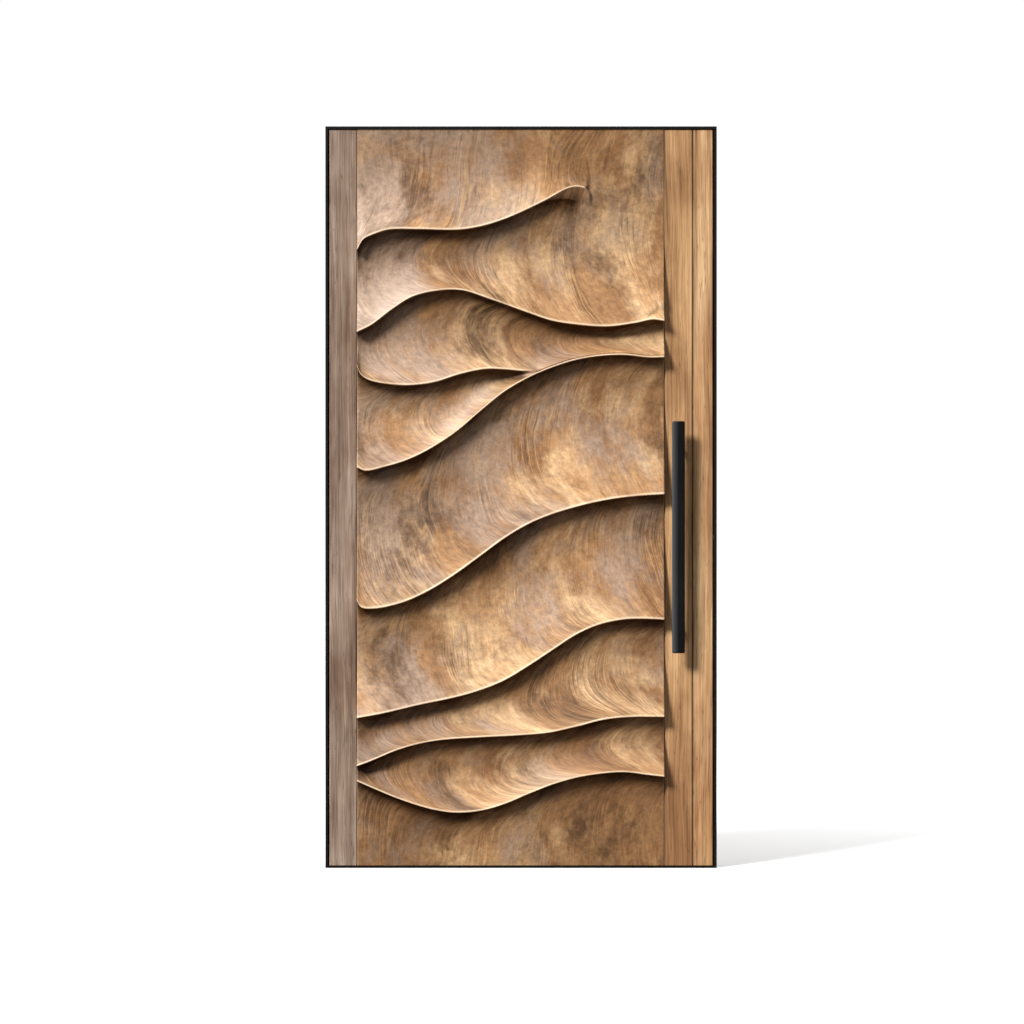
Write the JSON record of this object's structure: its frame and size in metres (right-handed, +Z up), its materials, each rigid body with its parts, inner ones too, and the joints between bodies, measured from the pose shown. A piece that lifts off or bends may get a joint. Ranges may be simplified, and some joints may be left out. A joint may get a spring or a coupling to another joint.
{
  "type": "carved wooden pivot door",
  "caption": "Tall wooden pivot door with a carved wave panel, plain side boards, long black pull bars, a roller catch and its own thin steel frame.",
  "frame": {"origin": "on the floor, midway between the jambs, in the middle of the leaf's thickness", "axes": "+Z up, -Y towards the carved front, +X to the right seen from the front"},
  "size_m": [1.293, 0.209, 2.45],
  "materials": {
    "frame_black": "matte",
    "screw_black": "satin",
    "screw_steel": "satin",
    "seal_rubber": "matte",
    "catch_steel": "satin",
    "pivot_steel": "satin",
    "bush_bronze": "satin",
    "core_wood": "matte",
    "core_fill": "matte",
    "front_boards": "satin",
    "carved_wood": "satin",
    "back_boards": "satin",
    "brush_pile": "matte",
    "pull_black": "satin",
    "spring_steel": "satin",
    "catch_nylon": "satin"
  },
  "bodies": {
    "frame": {"frame_jamb_left": "frame_black", "frame_jamb_right": "frame_black", "frame_head": "frame_black", "threshold": "frame_black", "frame_corner_screws": "screw_steel", "stop_bar_right": "frame_black", "stop_bar_head": "frame_black", "stop_bar_screws": "screw_black", "stop_seal_right": "seal_rubber", "stop_seal_head": "seal_rubber", "strike_plate": "catch_steel", "strike_screws": "screw_steel", "bottom_pivot_plate": "pivot_steel", "bottom_pivot_washer": "bush_bronze", "bottom_pivot_screws": "screw_steel", "top_pivot_plate": "pivot_steel", "top_pivot_screws": "screw_steel"},
    "leaf": {"core_stile_left": "core_wood", "core_stile_right": "core_wood", "core_rail_top": "core_wood", "core_rail_lock": "core_wood", "core_rail_bottom": "core_wood", "core_infill_upper": "core_fill", "core_infill_lower": "core_fill", "left_stile_board": "front_boards", "carved_panel": "carved_wood", "right_inner_board": "front_boards", "right_outer_board": "front_boards", "back_board_left": "back_boards", "back_panel": "back_boards", "back_board_right": "back_boards", "brush_seal_left": "brush_pile", "brush_seal_top": "brush_pile", "brush_seal_bottom": "brush_pile", "bottom_pivot_bush": "bush_bronze", "top_pivot_bush": "bush_bronze", "pull_bar_front": "pull_black", "pull_posts_front": "pull_black", "pull_bar_back": "pull_black", "pull_posts_back": "pull_black", "pull_bolts": "screw_steel", "catch_case": "catch_steel", "catch_faceplate": "catch_steel", "catch_screws": "screw_steel", "catch_spring": "spring_steel"},
    "catch_carrier": {"catch_carrier": "catch_nylon", "catch_axle": "pivot_steel"},
    "catch_roller": {"catch_roller": "catch_nylon"}
  },
  "joints": [
    {"name": "leaf_pivot", "type": "hinge", "parent": "frame", "child": "leaf", "pos_m": [-0.43451, 0, 0], "axis": [0, 0, -1], "range_deg": [0, 90]},
    {"name": "catch_slide", "type": "slide", "parent": "leaf", "child": "catch_carrier", "axis": [1, 0, 0], "range_m": [-0.007, 0], "stiffness_N_per_m": 3000, "springref_m": 0.004, "deforming": ["catch_spring"]},
    {"name": "catch_roller_spin", "type": "hinge", "parent": "catch_carrier", "child": "catch_roller", "pos_m": [0.6335, 0, 1.093], "axis": [0, 0, 1], "continuous": true}
  ]
}
